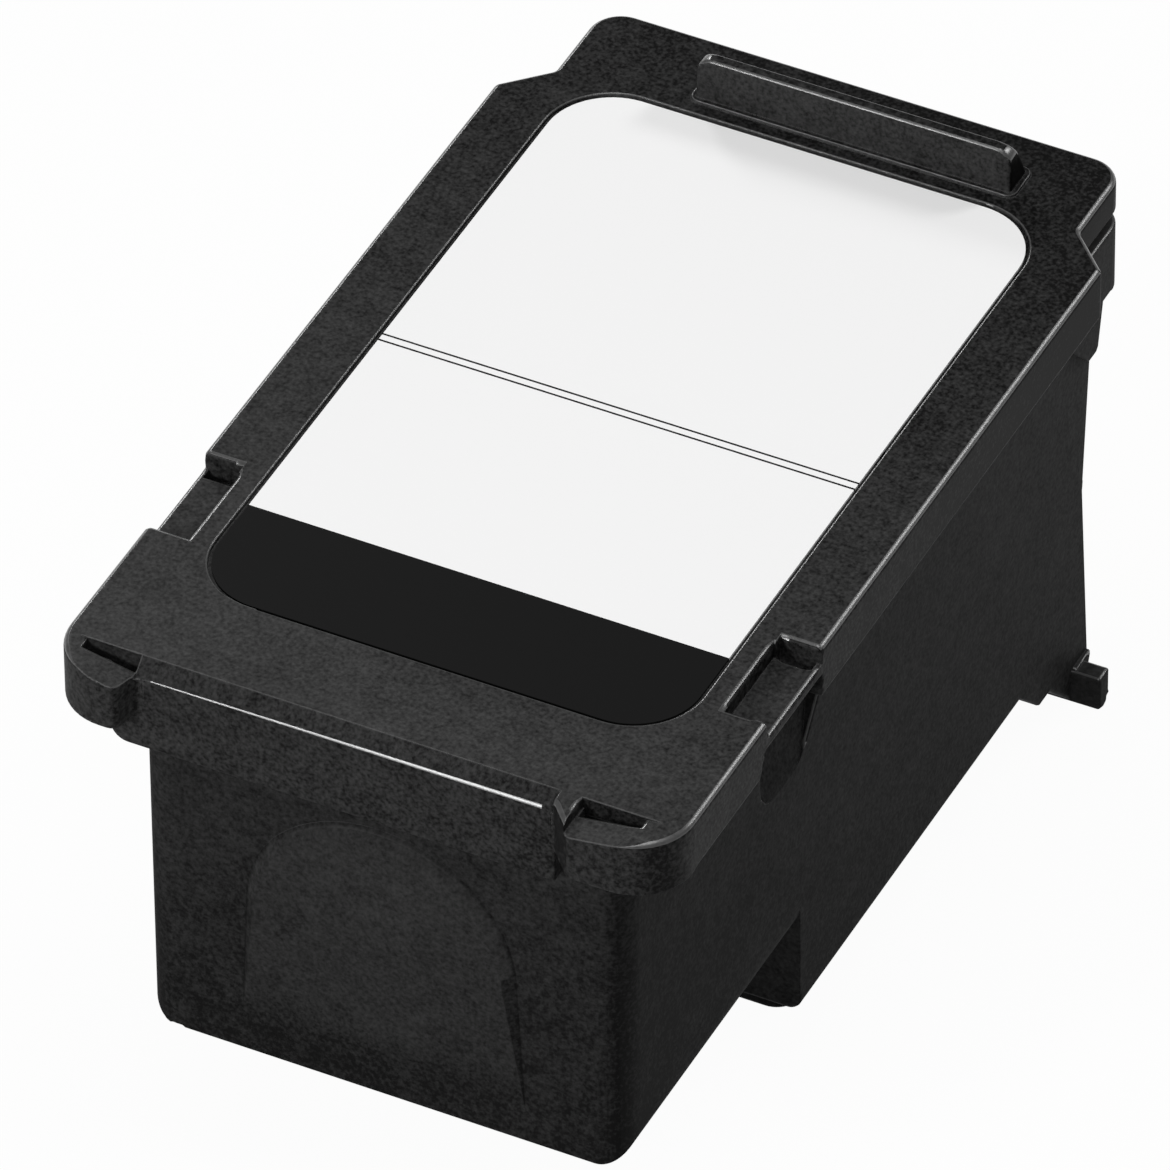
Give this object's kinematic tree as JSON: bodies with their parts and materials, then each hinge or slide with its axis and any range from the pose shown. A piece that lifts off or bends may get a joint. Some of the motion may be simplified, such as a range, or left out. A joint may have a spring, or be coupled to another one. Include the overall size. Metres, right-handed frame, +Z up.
{
  "type": "inkjet ink cartridge",
  "caption": "Box-shaped print head cartridge with a rimmed lid, finger tab and label on top, a stepped tank with an arched grip pad, and a contact panel at the rear.",
  "frame": {"origin": "middle of the outline, on the plane of the print head's rails that the cartridge stands on", "axes": "+X to the right seen from the grip face, +Y from the grip face to the contact panel at the rear, +Z up through the lid"},
  "size_m": [0.036, 0.0606, 0.039],
  "materials": {
    "tank_plastic": "spark-eroded texture",
    "lid_plastic": "spark-eroded texture",
    "label_film": "semi-gloss film, white with a black band",
    "absorber_fibre": "ink-soaked felt",
    "filter_mesh": "fine woven mesh",
    "silicon": "polished",
    "adhesive": "cured epoxy",
    "nozzle_film": "smooth film",
    "polyimide": "amber film over copper",
    "gold_plating": "gold-plated, satin",
    "sealant": "cured encapsulant"
  },
  "bodies": {
    "root": {"tank_body": "tank_plastic", "lid": "lid_plastic", "label": "label_film", "ink_absorber": "absorber_fibre", "filter_screen": "filter_mesh", "heater_chip": "silicon", "die_adhesive": "adhesive", "nozzle_plate": "nozzle_film", "flex_circuit": "polyimide", "contact_pads": "gold_plating", "sealant_beads": "sealant"}
  },
  "joints": []
}
